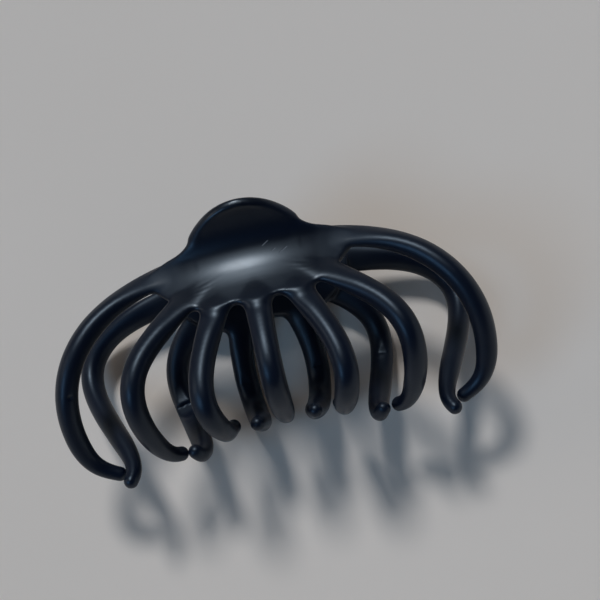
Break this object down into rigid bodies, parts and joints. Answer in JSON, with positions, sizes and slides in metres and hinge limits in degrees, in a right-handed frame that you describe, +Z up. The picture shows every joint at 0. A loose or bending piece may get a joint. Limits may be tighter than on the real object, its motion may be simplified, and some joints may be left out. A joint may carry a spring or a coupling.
{
  "type": "claw hair clip",
  "caption": "Large claw hair clip with long curved interleaved prongs on two sprung jaws, with rounded thumb tabs above the hinge.",
  "frame": {"origin": "on the surface the closed clip lies on, under the middle of its bounding box", "axes": "+X along the hinge pin, +Y from the prong tips to the thumb tabs, +Z up from the back jaw that it lies on to the front jaw"},
  "size_m": [0.1042, 0.058, 0.0436],
  "materials": {
    "jaw_plastic": "satin black, fine grain",
    "pin_steel": "drawn bright wire",
    "spring_steel": "drawn spring wire"
  },
  "bodies": {
    "back": {"back_jaw": "jaw_plastic", "hinge_pin": "pin_steel", "torsion_spring": "spring_steel"},
    "front": {"front_jaw": "jaw_plastic"}
  },
  "joints": [
    {"name": "jaw_hinge", "type": "hinge", "parent": "back", "child": "front", "pos_m": [0, 0.01821, 0.02176], "axis": [-1, 0, 0], "range_deg": [0, 70], "stiffness_Nm_per_rad": 0.15, "springref_deg": -34.38, "deforming": ["torsion_spring"]}
  ]
}
